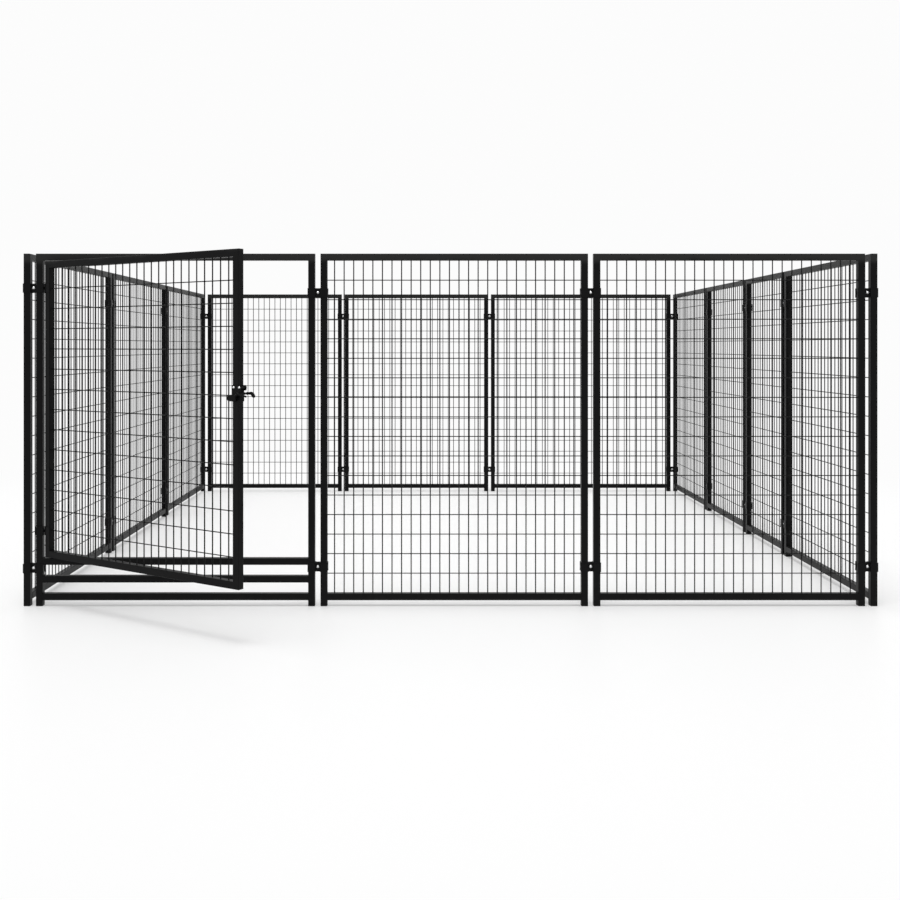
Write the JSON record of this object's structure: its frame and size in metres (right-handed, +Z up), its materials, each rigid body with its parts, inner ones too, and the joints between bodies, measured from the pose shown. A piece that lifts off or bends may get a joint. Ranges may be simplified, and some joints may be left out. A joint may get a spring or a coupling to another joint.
{
  "type": "outdoor dog kennel run",
  "caption": "Open-topped dog run of square-tube panels filled with welded wire, clamped into a yard, with a hinged gate and a lift-up fork latch.",
  "frame": {"origin": "on the ground under the middle of the front corner post on the left", "axes": "+X to the right along the front, +Y from the front to the back, +Z up"},
  "size_m": [4.4352, 5.0686, 1.829],
  "materials": {
    "frame_coat": "black powder coat, satin",
    "wire_coat": "black powder coat, satin",
    "fitting_coat": "black powder coat, satin",
    "zinc": "bright zinc plate",
    "plug_plastic": "black moulded plastic"
  },
  "bodies": {
    "yard": {"frame_gate": "frame_coat", "frame_front_middle": "frame_coat", "frame_front_right": "frame_coat", "frame_right_1": "frame_coat", "frame_right_2": "frame_coat", "frame_right_3": "frame_coat", "frame_right_4": "frame_coat", "frame_back_1": "frame_coat", "frame_back_2": "frame_coat", "frame_back_3": "frame_coat", "frame_left_1": "frame_coat", "frame_left_2": "frame_coat", "frame_left_3": "frame_coat", "mesh_front_middle": "wire_coat", "mesh_front_right": "wire_coat", "mesh_right_1": "wire_coat", "mesh_right_2": "wire_coat", "mesh_right_3": "wire_coat", "mesh_right_4": "wire_coat", "mesh_back_1": "wire_coat", "mesh_back_2": "wire_coat", "mesh_back_3": "wire_coat", "mesh_left_1": "wire_coat", "mesh_left_2": "wire_coat", "mesh_left_3": "wire_coat", "foot_plugs": "plug_plastic", "clamp_outer_front": "fitting_coat", "clamp_inner_front": "fitting_coat", "clamp_outer_right": "fitting_coat", "clamp_inner_right": "fitting_coat", "clamp_outer_back": "fitting_coat", "clamp_inner_back": "fitting_coat", "clamp_outer_left": "fitting_coat", "clamp_inner_left": "fitting_coat", "clamp_bolts": "zinc", "clamp_nuts": "zinc", "hinge_post_leaves": "fitting_coat", "hinge_pins": "fitting_coat"},
    "gate": {"gate_frame": "frame_coat", "gate_mesh": "wire_coat", "hinge_gate_leaves": "fitting_coat", "latch_bracket": "fitting_coat", "latch_back_plate": "fitting_coat", "latch_bolts": "zinc", "latch_nuts": "zinc"},
    "fork": {"latch_fork": "fitting_coat"}
  },
  "joints": [
    {"name": "gate_swing", "type": "hinge", "parent": "yard", "child": "gate", "pos_m": [0.0865, -0.02525, 0], "axis": [0, 0, -1], "range_deg": [-32.8, 137.2]},
    {"name": "latch_lift", "type": "hinge", "parent": "gate", "child": "fork", "pos_m": [1.24503, -0.74183, 1.136], "axis": [-0.5417, -0.8406, 0], "range_deg": [0, 92]}
  ]
}
